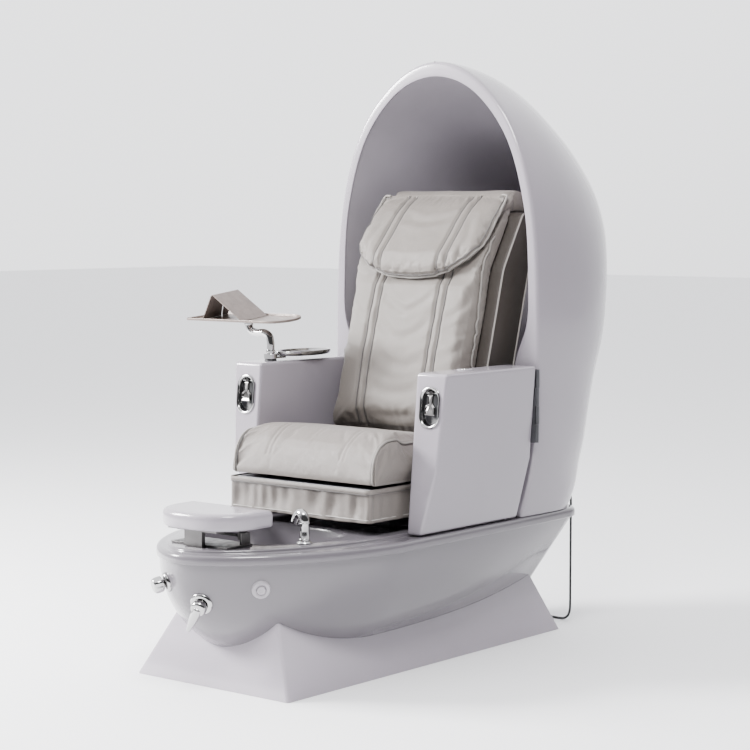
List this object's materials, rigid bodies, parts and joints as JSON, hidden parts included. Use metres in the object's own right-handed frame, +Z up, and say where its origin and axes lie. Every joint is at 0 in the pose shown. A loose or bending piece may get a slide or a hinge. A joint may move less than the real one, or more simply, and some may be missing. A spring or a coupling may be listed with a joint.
{
  "type": "pedicure spa chair",
  "caption": "Pedicure chair: boat-shaped foot basin on a flared plinth, egg-shaped hood, sliding reclining massage seat, swing-out arm boxes, tray, dish, footrest, taps and a mains lead.",
  "frame": {"origin": "on the floor under the middle of the plinth, on the chair's middle plane", "axes": "+Z up, -Y towards the footrest at the bow, +X towards the sitter's left-hand side"},
  "size_m": [0.958, 1.6521, 1.604],
  "materials": {
    "gelcoat_white": "glossy gelcoat, pearl white with a faint lavender tone",
    "hood_lining_grey": "satin grey inner skin",
    "leather_light": "soft warm light grey upholstery leather, fine grain",
    "leather_shell": "darker taupe leather on the back shell",
    "chrome": "polished chrome plating",
    "bright_steel": "bright zinc plated steel",
    "black_steel": "black powder coat, fine texture",
    "taupe_tray": "satin taupe lacquer on sheet metal",
    "board": "birch plywood",
    "black_plastic": "moulded, fine spark texture",
    "white_plastic": "smooth white moulding",
    "grey_pipe": "plain pressure pipe",
    "cord_rubber": "smooth flexible sheath"
  },
  "bodies": {
    "base": {"plinth_skirt": "gelcoat_white", "base_board": "board", "chassis_frame": "black_steel", "tub_hull": "gelcoat_white", "deck_and_basin": "gelcoat_white", "drain_strainer": "chrome", "drain_pipe": "grey_pipe", "jet_cover": "white_plastic", "jet_motor": "black_plastic", "spout_flange": "chrome", "diverter_valve": "chrome", "mixer_valve": "chrome", "air_switch_ring": "white_plastic", "footrest_bracket": "chrome", "hood_shell": "gelcoat_white", "hood_liner": "hood_lining_grey", "hinge_leaf_hood_left": "black_steel", "hinge_leaf_hood_right": "black_steel", "seat_pedestal": "black_steel", "slide_rail_left": "bright_steel", "slide_rail_right": "bright_steel", "power_box": "black_plastic", "cord_gland": "black_plastic", "power_cord": "cord_rubber", "cord_coil": "cord_rubber", "power_plug": "black_plastic"},
    "jet_impeller": {"jet_impeller": "black_plastic"},
    "spout": {"spout": "chrome"},
    "diverter_knob": {"diverter_knob": "chrome"},
    "mixer_lever": {"mixer_lever": "chrome"},
    "air_button": {"air_switch_button": "white_plastic"},
    "footrest": {"footrest_pad": "gelcoat_white", "footrest_carrier": "bright_steel"},
    "seat": {"seat_frame": "black_steel", "seat_pan": "black_steel", "seat_cushion": "leather_light", "seat_skirt": "leather_light"},
    "backrest": {"back_frame": "black_steel", "back_shell": "leather_shell", "back_pad": "leather_light"},
    "headrest": {"headrest_flap": "leather_light"},
    "massage_carriage": {"massage_carriage": "black_steel"},
    "massage_rollers": {"massage_rollers": "black_plastic"},
    "arm_left": {"arm_shell_left": "gelcoat_white", "latch_housing_left": "chrome", "hinge_leaf_arm_left": "black_steel", "arm_button_ring": "white_plastic"},
    "latch_left": {"latch_paddle_left": "chrome"},
    "arm_button": {"arm_button": "chrome"},
    "arm_right": {"arm_shell_right": "gelcoat_white", "latch_housing_right": "chrome", "hinge_leaf_arm_right": "black_steel", "post_collar": "black_plastic"},
    "latch_right": {"latch_paddle_right": "chrome"},
    "tray_post": {"tray_post": "chrome"},
    "tray": {"tray_plate": "taupe_tray", "hand_rest": "taupe_tray", "hand_rest_prop": "bright_steel"},
    "side_dish": {"dish_bracket": "chrome", "side_dish": "chrome"}
  },
  "joints": [
    {"name": "jet_spin", "type": "hinge", "parent": "base", "child": "jet_impeller", "pos_m": [0, -0.2285, 0.236], "axis": [0, 1, 0], "continuous": true},
    {"name": "spout_turn", "type": "hinge", "parent": "base", "child": "spout", "pos_m": [0.176, -0.436, 0.363], "axis": [0, 0, 1], "range_deg": [-40, 40]},
    {"name": "diverter_turn", "type": "hinge", "parent": "base", "child": "diverter_knob", "pos_m": [-0.068, -0.6756, 0.271], "axis": [-0.4428, -0.8688, -0.2216], "range_deg": [-90, 90]},
    {"name": "mixer_turn", "type": "hinge", "parent": "base", "child": "mixer_lever", "pos_m": [0.046, -0.67058, 0.229], "axis": [0.331, -0.8581, -0.3925], "range_deg": [-45, 45]},
    {"name": "air_button_press", "type": "slide", "parent": "base", "child": "air_button", "axis": [-0.7481, 0.6313, 0.2045], "range_m": [0, 0.003], "stiffness_N_per_m": 400},
    {"name": "footrest_tilt", "type": "hinge", "parent": "base", "child": "footrest", "pos_m": [0, -0.56, 0.388], "axis": [-1, 0, 0], "range_deg": [0, 45]},
    {"name": "seat_slide", "type": "slide", "parent": "base", "child": "seat", "axis": [0, -1, 0], "range_m": [-0.04, 0.05]},
    {"name": "back_recline", "type": "hinge", "parent": "seat", "child": "backrest", "pos_m": [0, 0.205, 0.48], "axis": [-1, 0, 0], "range_deg": [0, 14]},
    {"name": "headrest_flip", "type": "hinge", "parent": "backrest", "child": "headrest", "pos_m": [0, 0.37525, 1.23178], "axis": [-1, 0, 0], "range_deg": [0, 75]},
    {"name": "massage_travel", "type": "slide", "parent": "backrest", "child": "massage_carriage", "axis": [0, 0.2656, 0.9641], "range_m": [-0.16, 0.2]},
    {"name": "massage_spin", "type": "hinge", "parent": "massage_carriage", "child": "massage_rollers", "pos_m": [0, 0.27288, 0.82434], "axis": [1, 0, 0], "continuous": true},
    {"name": "arm_left_swing", "type": "hinge", "parent": "base", "child": "arm_left", "pos_m": [0.366, 0.2985, 0.665], "axis": [0, 0, 1], "range_deg": [0, 90]},
    {"name": "latch_left_pull", "type": "hinge", "parent": "arm_left", "child": "latch_left", "pos_m": [0.321, -0.10396, 0.725], "axis": [-1, 0, 0], "range_deg": [0, 18], "stiffness_Nm_per_rad": 0.4},
    {"name": "arm_button_press", "type": "slide", "parent": "arm_left", "child": "arm_button", "axis": [0, 0, -1], "range_m": [0, 0.003], "stiffness_N_per_m": 400},
    {"name": "arm_right_swing", "type": "hinge", "parent": "base", "child": "arm_right", "pos_m": [-0.366, 0.2985, 0.665], "axis": [0, 0, -1], "range_deg": [0, 90]},
    {"name": "latch_right_pull", "type": "hinge", "parent": "arm_right", "child": "latch_right", "pos_m": [-0.321, -0.10396, 0.725], "axis": [-1, 0, 0], "range_deg": [0, 18], "stiffness_Nm_per_rad": 0.4},
    {"name": "tray_post_turn", "type": "hinge", "parent": "arm_right", "child": "tray_post", "pos_m": [-0.315, -0.021, 0.775], "axis": [0, 0, 1], "range_deg": [-90, 90]},
    {"name": "tray_turn", "type": "hinge", "parent": "tray_post", "child": "tray", "pos_m": [-0.397, -0.021, 0.8885], "axis": [0, 0, 1], "range_deg": [-90, 90]},
    {"name": "dish_turn", "type": "hinge", "parent": "arm_right", "child": "side_dish", "pos_m": [-0.315, -0.021, 0.775], "axis": [0, 0, 1], "range_deg": [-10, 110]}
  ]
}
